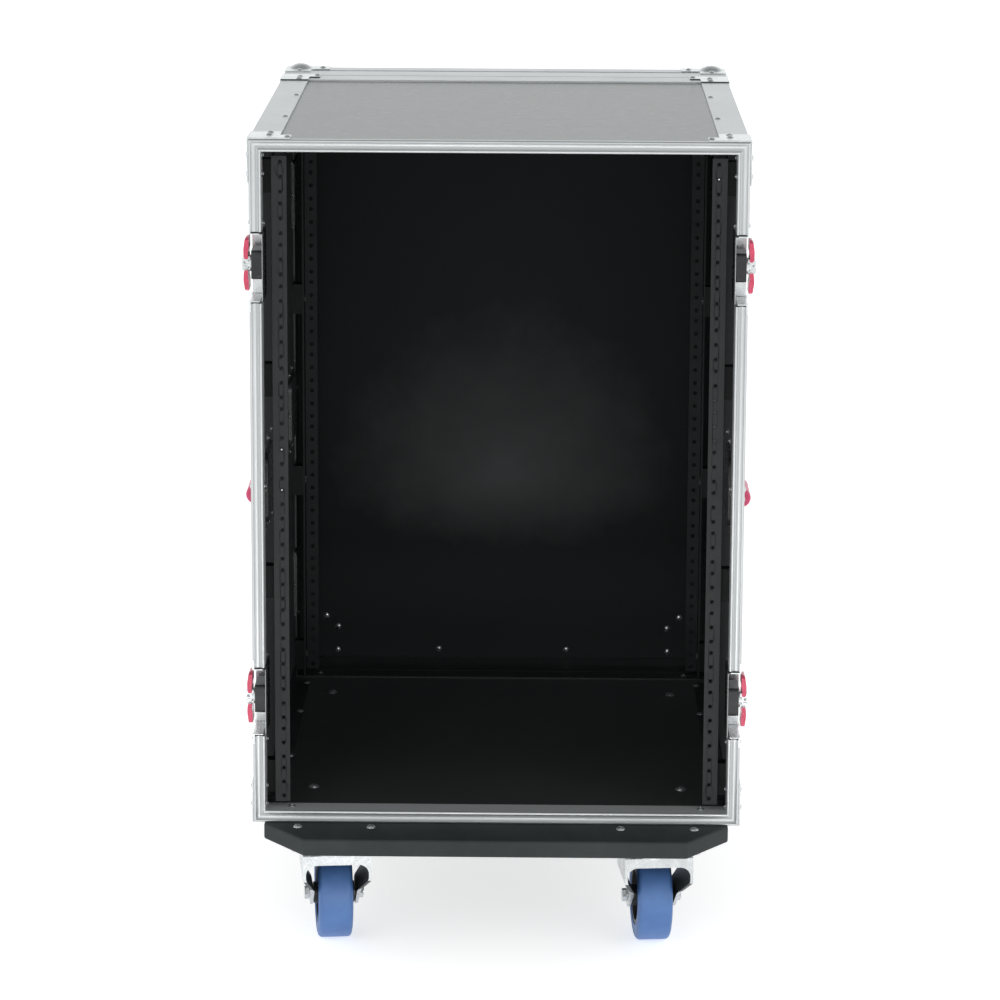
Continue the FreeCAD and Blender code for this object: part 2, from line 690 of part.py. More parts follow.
def board_bolts():
    """Nuts under every caster plate, and the heads that show at the front of the board."""
    nuts = []
    heads = []
    for x in (CASTER_X - PLATE_BOLT_X, CASTER_X + PLATE_BOLT_X):
        for y in (CASTER_Y[0] - PLATE_BOLT_Y, CASTER_Y[0] + PLATE_BOLT_Y):
            nuts.append(hexagon(Vector(x, y, CASTER_H - BASE_Z - 3), 13, 5, Vector(0, 0, -1)))
        heads.append(dome(Vector(x, CASTER_Y[0] - PLATE_BOLT_Y, 0), Vector(0, 0, 1), 5, 3))
    floor_head = dome(Vector(205, 100, FLOOR_TOP), Vector(0, 0, 1), 6.5, 3.5)
    nuts = both_sides(nuts)
    floor_heads = both_sides([floor_head])
    return nuts + floor_heads + [mirror_y(item) for item in nuts + floor_heads] + both_sides(heads)


os.makedirs("parts", exist_ok=True)

export("top_panel", [flat_panel(HEIGHT - SKIN - PLY)])
export("floor_panel", [flat_panel(SKIN)])
right_panel = side_panel()
export("right_side_panel", [right_panel])
export("left_side_panel", [mirror_x(right_panel)])
edge = edge_angle((SHORT_FLANGE, DEPTH - SEAM_FLANGE), (FLANGE, DEPTH - FLANGE))
export("edge_angles", four_corners(edge))

export("front_rim", case_rim_bars(SHORT_FLANGE, FLANGE))
export("rear_rim", [mirror_y(bar) for bar in case_rim_bars(SEAM_FLANGE, FLANGE)])

top_braces = both_sides([corner_brace(True)])
low_braces = [mirror_z(brace) for brace in both_sides([corner_brace(False)])]
front_braces = top_braces + low_braces
export("corner_braces", front_braces + [mirror_y(brace) for brace in front_braces])

rail = front_rail()
export("front_rack_rail_right", [rail])
export("front_rack_rail_left", [mirror_x(rail)])
export("rear_rack_rails", [mirror_y(item) for item in both_sides([rail])])
spacers = both_sides(front_spacers())
export("rail_spacers", spacers + [mirror_y(spacer) for spacer in spacers])
export("floor_angles", both_sides([floor_angle()]))

half_rivets = rim_rivets() + brace_rivets()
all_rivets = both_sides(half_rivets)
export("rivets", all_rivets + [mirror_y(head) for head in all_rivets])
screws = both_sides(rail_screws())
screws += [mirror_y(head) for head in screws]
export("rail_screws", screws + both_sides(floor_screws()))

dishes = both_sides([latch_dish(z, LATCH_POCKET_Y, LATCH_FLANGE_Y) for z in LATCH_Z])
export("latch_dishes", dishes + [mirror_y(dish) for dish in dishes])
housings = both_sides([latch_housing(z + LATCH_RISE) for z in LATCH_Z])
export("latch_housings", housings + [mirror_y(housing) for housing in housings])
export("handle_dishes", both_sides([handle_dish(y) for y in HANDLE_Y]))

for level, z in zip(("lower", "upper"), LATCH_Z):
    front_piece = latch_butterfly(z + LATCH_RISE, False)
    rear_piece = [mirror_y(solid) for solid in latch_butterfly(z + LATCH_RISE, True)]
    export("front_right_" + level + "_latch", front_piece)
    export("front_left_" + level + "_latch", [mirror_x(solid) for solid in front_piece])
    export("rear_right_" + level + "_latch", rear_piece)
    export("rear_left_" + level + "_latch", [mirror_x(solid) for solid in rear_piece])

for place, y in zip(("front", "rear"), HANDLE_Y):
    bail = handle_bail(y)
    grip = handle_grip(y)
    export(place + "_right_handle_bail", [bail])
    export(place + "_left_handle_bail", [mirror_x(bail)])
    export(place + "_right_handle_grip", [grip])
    export(place + "_left_handle_grip", [mirror_x(grip)])

export("caster_board", [caster_board()])
export("board_bolts", board_bolts())

plates = []
for place, y in zip(("front", "rear"), CASTER_Y):
    for side, x, turn in (("left", -CASTER_X, LEFT_CASTER_TURN), ("right", CASTER_X, RIGHT_CASTER_TURN)):
        name = place + "_" + side + "_caster_"
        plates.append(set_caster(caster_plate(), x, y, 0))
        export(name + "fork", [set_caster(caster_fork(), x, y, turn)])
        export(name + "axle", [set_caster(caster_axle(), x, y, turn)])
        export(name + "hub", [set_caster(caster_hub(), x, y, turn)])
        export(name + "tyre", [set_caster(caster_tyre(), x, y, turn)])
export("caster_plates", plates)

cubes = lid_corner_cubes()
back_panel = box(-PLY_IN, PLY_IN, LID_BACK - SKIN - PLY, LID_BACK - SKIN, FLOOR_TOP, HEIGHT - FLOOR_TOP)
export("lid_panel", [cut(back_panel, cubes)])
side_wall = box(PLY_IN, PLY_OUT, LID_Y + RIM_WEB, LID_BACK - SKIN, SKIN, HEIGHT - SKIN)
wall_notches = [moved(notch, 0, LID_Y, 0) for notch in latch_notches(LID_POCKET_Y, 0, 0)[::2]]
side_wall = cut(side_wall, wall_notches + cubes)
top_wall = box(-PLY_IN, PLY_IN, LID_Y + RIM_WEB, LID_BACK - SKIN, HEIGHT - FLOOR_TOP, HEIGHT - SKIN)
top_wall = cut(top_wall, cubes)
export("lid_walls", [side_wall, mirror_x(side_wall), top_wall, mirror_z(top_wall)])
export("lid_rim", lid_rim_bars())

angle_start = LID_BACK - FLANGE
short_reach = (LID_Y + SEAM_FLANGE, angle_start)
short_angle = edge_angle(short_reach, short_reach)
long_top = box(-HALF_W, HALF_W, angle_start, LID_BACK, HEIGHT - SKIN, HEIGHT)
long_top = long_top.fuse(box(-HALF_W, HALF_W, LID_BACK - SKIN, LID_BACK, HEIGHT - FLANGE, HEIGHT))
long_top = long_top.fuse(box(-HALF_W, -PLY_OUT, angle_start, LID_BACK, HEIGHT - FLANGE, HEIGHT))
long_top = long_top.fuse(box(PLY_OUT, HALF_W, angle_start, LID_BACK, HEIGHT - FLANGE, HEIGHT))
long_top = cut(long_top.removeSplitter(), cubes)
upright = box(PLY_OUT, HALF_W, angle_start, LID_BACK, FLANGE, HEIGHT - FLANGE)
upright = upright.fuse(box(HALF_W - FLANGE, HALF_W, LID_BACK - SKIN, LID_BACK, FLANGE, HEIGHT - FLANGE))
upright = upright.removeSplitter()
lid_angles = four_corners(short_angle) + [long_top, mirror_z(long_top), upright, mirror_x(upright)]
export("lid_edge_angles", lid_angles)
export("lid_ball_corners", four_corners(ball_corner()))
export("lid_latch_dishes", both_sides([keeper_dish(z) for z in LATCH_Z]))
export("lid_rivets", both_sides(lid_rivets()))
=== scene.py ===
import json
import math

import bmesh
import bpy
from mathutils import Matrix, Vector


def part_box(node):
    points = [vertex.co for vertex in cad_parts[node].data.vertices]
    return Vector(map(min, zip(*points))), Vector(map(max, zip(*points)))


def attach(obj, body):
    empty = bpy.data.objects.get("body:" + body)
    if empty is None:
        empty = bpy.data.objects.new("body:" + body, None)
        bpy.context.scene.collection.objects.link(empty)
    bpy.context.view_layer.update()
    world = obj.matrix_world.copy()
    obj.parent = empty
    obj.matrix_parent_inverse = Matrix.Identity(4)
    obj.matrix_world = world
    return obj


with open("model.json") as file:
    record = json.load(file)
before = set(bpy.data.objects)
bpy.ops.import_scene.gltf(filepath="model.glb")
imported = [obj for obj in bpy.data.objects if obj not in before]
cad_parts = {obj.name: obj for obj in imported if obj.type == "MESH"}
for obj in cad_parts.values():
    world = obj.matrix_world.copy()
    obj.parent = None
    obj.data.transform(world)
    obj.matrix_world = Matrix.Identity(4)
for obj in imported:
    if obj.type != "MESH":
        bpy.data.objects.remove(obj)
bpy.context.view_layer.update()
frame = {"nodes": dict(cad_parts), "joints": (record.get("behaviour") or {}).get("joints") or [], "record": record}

NODES = frame["nodes"]

# The case's own landmarks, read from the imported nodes
CASE_LOW, CASE_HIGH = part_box("front_rim")
FRONT_Y = CASE_LOW.y
BASE_Z = CASE_LOW.z
TOP_Z = CASE_HIGH.z
LID_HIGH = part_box("lid_panel")[1]

# Depths under the case's outside or behind its front edge, in metres
WALL_MIDDLE = 0.0067      # about the middle of the plywood's thickness
TRAY_SKIN = 0.0112        # a sunken tray shows inside the case beyond this
RIM_LIP = 0.002           # the rim's inner flange starts here
LINING_START = 0.009      # the lining starts here
FRONT_FLANGE = 0.034      # the rim's inner flange ends here

# Extrusions further than this from the middle plane run up and down
UPRIGHT_X = 0.2505

# The painted reflection on the back, a lighter patch: its middle above the floor, and how fast it fades, per metre
REFLECTION_HEIGHT = 0.242
REFLECTION_ACROSS = 4.6
REFLECTION_UP = 4.6
REFLECTION_DOWN = 11.0


# ---------------------------------------------------------------- materials

def new_tree(name):
    mat = bpy.data.materials.new(name)
    mat.use_nodes = True
    tree = mat.node_tree
    shader = tree.nodes["Principled BSDF"]
    return mat, tree, shader


def add(tree, kind, **values):
    node = tree.nodes.new("ShaderNode" + kind)
    for key, value in values.items():
        setattr(node, key, value)
    return node


def link(tree, source, target):
    tree.links.new(source, target)


def coordinates(tree, stretch=(1, 1, 1)):
    """Object coordinates in metres, scaled along each axis."""
    coord = add(tree, "TexCoord")
    mapping = add(tree, "Mapping")
    mapping.inputs["Scale"].default_value = stretch
    link(tree, coord.outputs["Object"], mapping.inputs["Vector"])
    return mapping.outputs["Vector"]


def place_axes(tree):
    """The x, y and z of the point on the surface."""
    axes = add(tree, "SeparateXYZ")
    link(tree, add(tree, "TexCoord").outputs["Object"], axes.inputs[0])
    return axes.outputs


def noise(tree, vector, scale, detail=3.0, rough=0.5):
    node = add(tree, "TexNoise")
    node.inputs["Scale"].default_value = scale
    node.inputs["Detail"].default_value = detail
    node.inputs["Roughness"].default_value = rough
    link(tree, vector, node.inputs["Vector"])
    return node.outputs["Fac"]


def span(tree, value, low, high, out_low, out_high):
    node = add(tree, "MapRange")
    node.inputs["From Min"].default_value = low
    node.inputs["From Max"].default_value = high
    node.inputs["To Min"].default_value = out_low
    node.inputs["To Max"].default_value = out_high
    link(tree, value, node.inputs["Value"])
    return node.outputs["Result"]


def blend_colours(tree, fac, first, second):
    node = add(tree, "Mix", data_type="RGBA")
    for socket, value in ((node.inputs[6], first), (node.inputs[7], second)):
        if isinstance(value, tuple):
            socket.default_value = (*value, 1.0)
        else:
            link(tree, value, socket)
    link(tree, fac, node.inputs[0])
    return node.outputs[2]


def maths(tree, operation, first, second=None):
    node = add(tree, "Math", operation=operation)
    for socket, value in zip(node.inputs, (first, second)):
        if value is None:
            continue
        if isinstance(value, (int, float)):
            socket.default_value = value
        else:
            link(tree, value, socket)
    return node.outputs[0]


def bump(tree, shader, height, strength, distance):
    node = add(tree, "Bump")
    node.inputs["Strength"].default_value = strength
    node.inputs["Distance"].default_value = distance
    link(tree, height, node.inputs["Height"])
    link(tree, node.outputs["Normal"], shader.inputs["Normal"])


def inside_mask(tree, start):
    """1 on every face that looks into the case from start behind the opening, 0 outside it."""
    x, y, z = place_axes(tree)
    limits = (("LESS_THAN", maths(tree, "ABSOLUTE", x), CASE_HIGH.x - WALL_MIDDLE),
              ("GREATER_THAN", z, BASE_Z + WALL_MIDDLE),
              ("LESS_THAN", z, TOP_Z - WALL_MIDDLE),
              ("GREATER_THAN", y, FRONT_Y + start),
              ("LESS_THAN", y, LID_HIGH.y - WALL_MIDDLE))
    mask = maths(tree, *limits[0])
    for limit in limits[1:]:
        mask = maths(tree, "MULTIPLY", mask, maths(tree, *limit))
    return mask


def is_inside(point):
    """True for the middle of a panel's face that looks into the case."""
    return (abs(point.x) < CASE_HIGH.x - WALL_MIDDLE
            and BASE_Z + WALL_MIDDLE < point.z < TOP_Z - WALL_MIDDLE
            and FRONT_Y + LINING_START < point.y < LID_HIGH.y - WALL_MIDDLE)


def recess_back_mask(tree):
    """1 where a sunken tray shows inside the case, 0 on the face of its floor that looks out."""
    facing = add(tree, "SeparateXYZ")
    link(tree, add(tree, "NewGeometry").outputs["Normal"], facing.inputs[0])
    x = place_axes(tree)[0]
    looks_in = maths(tree, "LESS_THAN", maths(tree, "MULTIPLY", x, facing.outputs[0]), 0.05)
    within = maths(tree, "LESS_THAN", maths(tree, "ABSOLUTE", x), CASE_HIGH.x - TRAY_SKIN)
    return maths(tree, "MULTIPLY", looks_in, within)


def finish_material(name, light, dark, metallic, rough, mottle=18.0, grain=900.0, grain_depth=0.00004,
                    specular=0.5, coat=0.0, stretch=(1, 1, 1), rough_swing=0.05, painted_shade_back=False):
    """A finish with slow colour mottling, uneven gloss and a fine grain."""
    mat, tree, shader = new_tree(name)
    plain = coordinates(tree)
    drawn = coordinates(tree, stretch)
    slow = noise(tree, plain, mottle, 4.0, 0.6)
    fine = noise(tree, drawn, grain, 2.0, 0.5)
    colour = blend_colours(tree, span(tree, slow, 0.35, 0.65, 0.0, 1.0), dark, light)
    if painted_shade_back:
        # painted shade: the backs of the sunken trays inside the case get a dark, non-metal colour
        back = recess_back_mask(tree)
        colour = blend_colours(tree, back, colour, (0.042, 0.045, 0.046))
        link(tree, maths(tree, "MULTIPLY", maths(tree, "SUBTRACT", 1.0, back), metallic),
             shader.inputs["Metallic"])
    else:
        shader.inputs["Metallic"].default_value = metallic
    link(tree, colour, shader.inputs["Base Color"])
    gloss = noise(tree, drawn, mottle * 4, 5.0, 0.6)
    link(tree, span(tree, gloss, 0.3, 0.7, rough - rough_swing, rough + rough_swing),
         shader.inputs["Roughness"])
    shader.inputs["Specular IOR Level"].default_value = specular
    shader.inputs["Coat Weight"].default_value = coat
    bump(tree, shader, fine, 0.5, grain_depth)
    return mat


def extrusion_material(name):
    """Satin aluminium with fine drawing lines along each bar, whichever way the bar runs.
    The rim's inner flange is dull; the faces deeper in get painted shade, a near-black colour in place of the
    aluminium."""
    mat, tree, shader = new_tree(name)
    upright = maths(tree, "GREATER_THAN", maths(tree, "ABSOLUTE", place_axes(tree)[0]), UPRIGHT_X)
    choose = add(tree, "Mix", data_type="FLOAT")
    link(tree, upright, choose.inputs[0])
    link(tree, noise(tree, coordinates(tree, (0.012, 1.0, 1.0)), 900.0), choose.inputs[2])
    link(tree, noise(tree, coordinates(tree, (1.0, 1.0, 0.012)), 900.0), choose.inputs[3])
    lines = choose.outputs[0]
    slow = noise(tree, coordinates(tree), 9.0, 5.0, 0.6)
    tint = blend_colours(tree, span(tree, slow, 0.35, 0.65, 0.0, 1.0), (0.525, 0.54, 0.545),
                         (0.59, 0.60, 0.605))
    colour = blend_colours(tree, span(tree, lines, 0.3, 0.7, 0.0, 0.3), tint, (0.45, 0.465, 0.47))
    lip = inside_mask(tree, RIM_LIP)
    inner = inside_mask(tree, FRONT_FLANGE)
    colour = blend_colours(tree, lip, colour, (0.40, 0.41, 0.415))
    # painted shade: aluminium faces deep inside the case get a near-black colour
    colour = blend_colours(tree, inner, colour, (0.032, 0.034, 0.035))
    link(tree, colour, shader.inputs["Base Color"])
    link(tree, span(tree, lines, 0.3, 0.7, 0.36, 0.46), shader.inputs["Roughness"])
    link(tree, maths(tree, "SUBTRACT", 0.92, maths(tree, "MULTIPLY", lip, 0.72)), shader.inputs["Metallic"])
    bump(tree, shader, lines, 0.3, 0.00003)
    return mat


def painted_reflection_mask(tree):
    """A ragged round patch of painted reflection on the back, reaching further up than down."""
    x, _, z = place_axes(tree)
    across = maths(tree, "MULTIPLY", x, REFLECTION_ACROSS)
    above = maths(tree, "SUBTRACT", z, BASE_Z + REFLECTION_HEIGHT)
    upright = maths(tree, "MAXIMUM", maths(tree, "MULTIPLY", above, REFLECTION_UP),
                    maths(tree, "MULTIPLY", above, -REFLECTION_DOWN))
    squares = maths(tree, "ADD", maths(tree, "MULTIPLY", across, across),
                    maths(tree, "MULTIPLY", upright, upright))
    cloud = noise(tree, coordinates(tree), 14.0, 4.0, 0.6)
    reach = maths(tree, "ADD", maths(tree, "SQRT", squares), span(tree, cloud, 0.3, 0.7, -0.10, 0.10))
    return span(tree, reach, 0.0, 1.0, 1.0, 0.0)


def laminate_material(name, dark, light, tint, rough, painted_reflection=None, tone_ramp=None):
    """Black laminate with a low leathery grain, faint mottling and scuffs.
    tint colours its gloss. The argument after rough is the colour of a painted reflection, a lighter patch on the
    back.
    The last argument is an axis, where along it the colour starts to change and where it reaches its end tone, and
    that tone."""
    mat, tree, shader = new_tree(name)
    plain = coordinates(tree)
    slow = noise(tree, plain, 5.0, 5.0, 0.65)
    colour = blend_colours(tree, span(tree, slow, 0.3, 0.7, 0.0, 1.0), dark, light)
    if painted_reflection is not None:
        colour = blend_colours(tree, painted_reflection_mask(tree), colour, painted_reflection)
    # the colour changes along one axis: the floor lining gets lighter towards the back, the back lining lighter
    # towards the bottom
    if tone_ramp is not None:
        axis, start, end, tone = tone_ramp
        fade = span(tree, place_axes(tree)[axis], start, end, 0.0, 1.0)
        colour = blend_colours(tree, fade, colour, tone)
    scuff = noise(tree, coordinates(tree, (3.0, 0.25, 1.2)), 60.0, 6.0, 0.7)
    colour = blend_colours(tree, span(tree, scuff, 0.68, 0.78, 0.0, 0.10), colour, (0.05, 0.052, 0.055))
    link(tree, colour, shader.inputs["Base Color"])
    gloss = noise(tree, plain, 90.0, 4.0, 0.6)
    link(tree, span(tree, gloss, 0.3, 0.7, rough, rough + 0.02), shader.inputs["Roughness"])
    shader.inputs["Specular IOR Level"].default_value = 0.43
    shader.inputs["Specular Tint"].default_value = (*tint, 1.0)
    bump(tree, shader, noise(tree, plain, 1400.0, 2.0), 0.2, 0.00002)
    return mat


# Gloss tint and roughness of the laminate's two sides
OUTSIDE = {"tint": (0.81, 0.865, 0.89), "rough": 0.27}
LINING = {"tint": (0.22, 0.23, 0.24), "rough": 0.43}

MATERIALS = {
    "black_laminate_ply": laminate_material("black_laminate", (0.0125, 0.0137, 0.0147),
                                            (0.0135, 0.0147, 0.0157), **OUTSIDE),
    # The linings are one black lining in three tones of painted light and shade: side walls lightest, floor
    # darker, back darkest, as light falls into the case
    "lining": laminate_material("black_lining", (0.056, 0.060, 0.061), (0.066, 0.071, 0.072), **LINING),
    "floor_lining": laminate_material("floor_lining", (0.029, 0.031, 0.031), (0.038, 0.041, 0.041),
                                      tone_ramp=(1, -0.02, LID_HIGH.y, (0.066, 0.070, 0.072)), **LINING),
    "back_lining": laminate_material("back_lining", (0.0068, 0.0075, 0.0077), (0.0088, 0.0097, 0.0100),
                                     painted_reflection=(0.072, 0.078, 0.077),
                                     tone_ramp=(2, BASE_Z + 0.16, BASE_Z + 0.01, (0.031, 0.033, 0.034)),
                                     **LINING),
    "aluminium_extrusion": extrusion_material("satin_aluminium"),
    "bright_zinc_steel": finish_material("bright_zinc", (0.66, 0.68, 0.69), (0.53, 0.55, 0.56), 0.9, 0.27,
                                         60.0, 700.0, 0.00003),
    "dish": finish_material("zinc_pressing", (0.74, 0.76, 0.77), (0.62, 0.64, 0.65), 0.9, 0.27,
                            60.0, 700.0, 0.00003, painted_shade_back=True),
    # painted shade: a darker, duller copy of the bright zinc for zinc faces that lie in shade
    "shaded_zinc": finish_material("shaded_zinc", (0.060, 0.066, 0.064), (0.030, 0.034, 0.033), 0.3, 0.42,
                                   60.0, 700.0, 0.00004),
    # painted shade: near-black colour for the screws' cross recesses, drawn as thin plates on the heads
    "recess": finish_material("recess_black", (0.012, 0.012, 0.013), (0.006, 0.006, 0.007), 0.2, 0.5, 90.0),
    "black_rail_steel": finish_material("black_powder_coat", (0.0155, 0.0172, 0.0178),
                                        (0.0115, 0.0130, 0.0136), 0.0, 0.45, 30.0, 1300.0, 0.00006,
                                        specular=0.25),
    # a copy of the rails' black coat whose tone and gloss are set to how the rear rails and floor angles look deep
    # in the case: painted light and shade, not a second coat
    "rail_painted_shading": finish_material("dull_powder_coat", (0.027, 0.029, 0.030), (0.021, 0.023, 0.024),
                                 0.0, 0.5, 30.0, 1300.0, 0.00006, specular=0.12),
    "black_spacer_plastic": finish_material("black_spacer", (0.013, 0.014, 0.014),
                                            (0.009, 0.010, 0.010), 0.0, 0.5, specular=0.15),
    "black_mechanism_metal": finish_material("black_mechanism", (0.022, 0.022, 0.024),
                                             (0.012, 0.012, 0.014), 0.3, 0.32, 90.0),
    "painted_board_ply": finish_material("painted_board", (0.038, 0.043, 0.044),
                                         (0.030, 0.034, 0.035), 0.0, 0.62, 14.0, 260.0, 0.00020,
                                         specular=0.12, stretch=(1.0, 0.25, 1.0)),
    "red_grip_rubber": finish_material("red_rubber", (0.64, 0.060, 0.16), (0.54, 0.040, 0.12), 0.0, 0.34,
                                       150.0, 1500.0, 0.00006),
    "red_wing_plastic": finish_material("red_wings", (0.58, 0.045, 0.11), (0.47, 0.030, 0.08), 0.0, 0.28,
                                        150.0, 900.0, 0.00004, coat=0.3),
    "blue_tread": finish_material("blue_rubber", (0.070, 0.162, 0.385), (0.056, 0.132, 0.33), 0.0, 0.46,
                                  40.0, 800.0, 0.00008),
    "black_wheel_core": finish_material("black_nylon", (0.035, 0.036, 0.038), (0.022, 0.022, 0.024),
                                        0.0, 0.4, 60.0, 900.0),
}
SLOTS = {item["node"]: item["material_slot"] for item in frame["record"]["subparts"]}


def give(obj, mat):
    obj.data.materials.clear()
    obj.data.materials.append(mat)


def soften_edges(obj, width):
    """Break the sharp edges of a CAD node so that they catch the light."""
    weld = obj.modifiers.new("weld", "WELD")
    weld.merge_threshold = 0.000002
    bevel = obj.modifiers.new("edge", "BEVEL")
    bevel.width = width
    bevel.segments = 2
    bevel.limit_method = "ANGLE"
    bevel.angle_limit = math.radians(40)
    bevel.harden_normals = False


def solids_of(obj):
    """The polygons of a node, grouped by the solid that they belong to."""
    mesh = obj.data
    keys = {}
    same = [keys.setdefault(tuple(round(c, 6) for c in v.co), i) for i, v in enumerate(mesh.vertices)]
    parent = list(range(len(mesh.vertices)))

    def root(i):
        while parent[i] != i:
            parent[i] = parent[parent[i]]
            i = parent[i]
        return i

    for polygon in mesh.polygons:
        first = root(same[polygon.vertices[0]])
        for v in polygon.vertices[1:]:
            parent[root(same[v])] = first
    roots = [root(same[polygon.vertices[0]]) for polygon in mesh.polygons]
    numbers = {r: n for n, r in enumerate(sorted(set(roots)))}
    groups = [[] for _ in numbers]
    for polygon, r in zip(mesh.polygons, roots):
        groups[numbers[r]].append(polygon)
    return groups


def corners_of(obj, polygons):
    points = [obj.data.vertices[v].co for p in polygons for v in p.vertices]
    low = Vector([min(p[k] for p in points) for k in range(3)])
    high = Vector([max(p[k] for p in points) for k in range(3)])
    return low, high


def dress_part(obj, test, mat):
    """Give the polygons that pass the test a second material."""
    obj.data.materials.append(mat)
    slot_index = len(obj.data.materials) - 1
    for polygon in obj.data.polygons:
        if test(polygon.center, polygon.normal):
            polygon.material_index = slot_index


def joint_of(body):
    return next(joint for joint in frame["joints"] if joint["child"] == body)


def dress_latch(obj):
    """Zinc barrel, claw and saddle, and two red wings above and below them."""
    axis = Vector(joint_of(obj.name)["pos_m"])
    saddle_half = 0.0081
    knob_half_y, knob_half_z = 0.0096, 0.0075
    barrel_radius = 0.00905
    wing_start = 0.006

    def is_wing(centre, normal):
        dy = abs(centre.y - axis.y)
        dz = abs(centre.z - axis.z)
        saddle = dy < saddle_half and dz < saddle_half
        knob = dy < knob_half_y and dz < knob_half_z
        return dz > wing_start and math.hypot(dy, dz) > barrel_radius and not saddle and not knob

    give(obj, MATERIALS["bright_zinc_steel"])
    dress_part(obj, is_wing, MATERIALS["red_wing_plastic"])


def dress_fork(obj):
    """The inside of the fork gets painted shade: those faces wear a darker, duller copy of the zinc."""
    roll = joint_of(obj.name.replace("_caster_fork", "_caster_wheel"))
    middle = Vector(roll["pos_m"])
    axle = Vector(roll["axis"]).normalized()
    side_half_width, crown_half_width = 0.0355, 0.036
    crown_above_axle = 0.02

    def is_inner(centre, normal):
        across = (centre - middle).dot(axle)
        looks_in = normal.dot(axle) * across < -0.2 * abs(across)
        side = looks_in and abs(across) < side_half_width
        high = centre.z > middle.z + crown_above_axle
        return side or (high and normal.z < -0.3 and abs(across) < crown_half_width)

    give(obj, MATERIALS["bright_zinc_steel"])
    dress_part(obj, is_inner, MATERIALS["shaded_zinc"])


def dress_braces(obj):
    """The step at the front edge of the rear top braces lies in shadow."""
    give(obj, MATERIALS["bright_zinc_steel"])
    dress_part(obj, lambda centre, normal: normal.y < -0.9 and centre.z > TOP_Z and centre.y > 0.1,
               MATERIALS["shaded_zinc"])


def dress_panel(obj):
    """Laminate on the outside of a panel, its lining on the face that looks into the case."""
    give(obj, MATERIALS["black_laminate_ply"])
    dress_part(obj, lambda centre, normal: is_inside(centre),
               MATERIALS[LINING_OF_NODE.get(obj.name, "lining")])


LINING_OF_NODE = {"floor_panel": "floor_lining", "lid_panel": "back_lining"}
FINISH_OF_NODE = {"latch_dishes": "dish", "lid_latch_dishes": "dish", "handle_dishes": "dish",
                  "rear_rack_rails": "rail_painted_shading", "floor_angles": "rail_painted_shading"}

for node, obj in NODES.items():
    if SLOTS[node] == "red_wing_plastic":
        dress_latch(obj)
    elif SLOTS[node] == "black_laminate_ply":
        dress_panel(obj)
    elif node.endswith("_caster_fork"):
        dress_fork(obj)
    elif node == "corner_braces":
        dress_braces(obj)
    else:
        give(obj, MATERIALS[FINISH_OF_NODE.get(node, SLOTS[node])])

for node in ("corner_braces", "lid_ball_corners", "latch_dishes", "lid_latch_dishes", "handle_dishes",
             "front_rack_rail_left", "front_rack_rail_right", "latch_housings", "floor_angles"):
    soften_edges(NODES[node], 0.0004)


# ---------------------------------------------------------------- fine details

class Detail:
    """Collects small solids that make up one piece."""

    def __init__(self):
        self.verts = []
        self.faces = []

    def add(self, verts, faces):
        start = len(self.verts)
        self.verts += verts
        self.faces += [[start + i for i in face] for face in faces]

    def revolve(self, profile, origin, axis, segments, closed=False):
        """Turn a (radius, height) profile about the axis through origin."""
        axis = Vector(axis).normalized()
        side = axis.orthogonal().normalized()
        other = axis.cross(side)
        verts = []
        for k in range(segments):
            angle = 2 * math.pi * k / segments
            spoke = side * math.cos(angle) + other * math.sin(angle)
            verts += [tuple(origin + spoke * r + axis * h) for r, h in profile]
        count = len(profile)
        steps = count if closed else count - 1
        faces = []
        for k in range(segments):
            here, there = k * count, (k + 1) % segments * count
            for i in range(steps):
                j = (i + 1) % count
                faces.append((here + i, there + i, there + j, here + j))
        if not closed:
            faces.append([k * count + count - 1 for k in range(segments)])
        self.add(verts, faces)

    def bar(self, centre, along, across, up, length, width, height):
        """A small block with its length, width and height along the three directions."""
        verts = []
        for a in (-0.5, 0.5):
            for b in (-0.5, 0.5):
                for c in (-0.5, 0.5):
                    verts.append(tuple(centre + along * a * length + across * b * width + up * c * height))
        self.add(verts, [(0, 1, 3, 2), (4, 6, 7, 5), (0, 4, 5, 1), (2, 3, 7, 6), (0, 2, 6, 4), (1, 5, 7, 3)])

    def make(self, name, body, mat, slot, smooth=False):
        mesh = bpy.data.meshes.new(name)
        mesh.from_pydata(self.verts, [], self.faces)
        mesh.validate()
        shape = bmesh.new()
        shape.from_mesh(mesh)
        bmesh.ops.recalc_face_normals(shape, faces=shape.faces)
        shape.to_mesh(mesh)
        shape.free()
        for polygon in mesh.polygons:
            polygon.use_smooth = smooth
        obj = bpy.data.objects.new(name, mesh)
        bpy.context.scene.collection.objects.link(obj)
        obj.data.materials.append(mat)
        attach(obj, body)


def rail_holes():
    """Middle of every hole on the front rails, on their front face."""
    mount = next(m for m in frame["record"]["mounts"] if m["name"] == "front_rack_rails")
    middle = Vector(mount["pos_m"])
    half_x = mount["dims"]["spacing_x_mm"] / 2000
    first = middle.z - mount["dims"]["spacing_y_mm"] / 2000
    unit, pitch = 0.04445, 0.015875
    return [Vector((side * half_x, middle.y, first + u * unit + k * pitch))
            for side in (-1, 1) for u in range(16) for k in range(3)]


